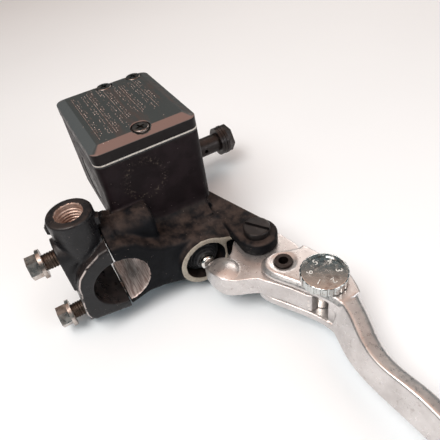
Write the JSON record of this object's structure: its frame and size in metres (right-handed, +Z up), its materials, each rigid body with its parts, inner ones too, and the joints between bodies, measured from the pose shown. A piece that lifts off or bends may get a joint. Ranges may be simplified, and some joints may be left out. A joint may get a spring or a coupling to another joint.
{
  "type": "motorcycle front brake master cylinder",
  "caption": "Handlebar-clamped hydraulic brake master cylinder with square fluid reservoir, mirror boss and a two-piece finger lever with reach dial.",
  "frame": {"origin": "on the handlebar's axis, in the middle of the clamp's width", "axes": "+X along the handlebar towards its right-hand end, +Y forward, away from the rider, +Z up"},
  "size_m": [0.2514, 0.1161, 0.0726],
  "materials": {
    "cast_black": "satin black paint on cast aluminium",
    "cap_black": "satin black, worn",
    "machined": "machined",
    "lever_silver": "satin cast silver",
    "zinc": "zinc plated, worn",
    "black_steel": "black oxide",
    "bright_steel": "ground steel",
    "dial_chrome": "polished",
    "rubber": "matt black",
    "pale_plate": "matt",
    "glass": "clear",
    "bronze": "sintered bronze"
  },
  "bodies": {
    "root": {"master_body": "cast_black", "handlebar_holder": "cast_black", "clamp_bolts": "zinc", "reservoir_cap": "cap_black", "cap_screws": "bright_steel", "diaphragm_plate": "pale_plate", "diaphragm": "rubber", "sight_glass": "glass", "sight_glass_seal": "rubber", "port_guard": "bright_steel", "return_spring": "bright_steel", "stop_washer": "zinc", "circlip": "black_steel", "dust_boot": "rubber", "banjo_bolt": "black_steel", "crush_washers": "black_steel", "pivot_bolt": "black_steel", "pivot_nut": "zinc"},
    "piston_set": {"piston": "machined", "push_pin": "bright_steel", "primary_cup": "rubber", "secondary_cup": "rubber", "spring_seat": "zinc"},
    "bracket": {"lever_bracket": "lever_silver", "pivot_bush": "bronze"},
    "blade": {"lever_blade": "lever_silver", "lever_pin": "black_steel", "pin_clip": "bright_steel", "reach_spring": "bright_steel", "detent_ball": "bright_steel", "detent_spring": "bright_steel"},
    "dial": {"adjuster_dial": "dial_chrome", "adjuster_cam": "bright_steel", "cam_clip": "bright_steel"}
  },
  "joints": [
    {"name": "lever_pull", "type": "hinge", "parent": "root", "child": "bracket", "pos_m": [0.0223, 0.0547, -0.0074], "axis": [0, 0, -1], "range_deg": [0, 20], "stiffness_Nm_per_rad": 1.2, "springref_deg": -20.05},
    {"name": "piston_stroke", "type": "slide", "parent": "root", "child": "piston_set", "axis": [-1, 0, 0], "range_m": [0, 0.007], "deforming": ["return_spring", "dust_boot"]},
    {"name": "blade_reach", "type": "hinge", "parent": "bracket", "child": "blade", "pos_m": [0.0395, 0.0552, -0.0074], "axis": [0, 0, 1], "range_deg": [-2.5, 2.5]},
    {"name": "dial_turn", "type": "hinge", "parent": "blade", "child": "dial", "pos_m": [0.0548, 0.062, -0.0074], "axis": [0, 0, 1], "range_deg": [-120, 120]}
  ],
  "couplings": [
    {"joint": "piston_stroke", "follows": "lever_pull", "m_per_rad": 0.020054},
    {"joint": "dial_turn", "follows": "blade_reach", "ratio": 48}
  ]
}
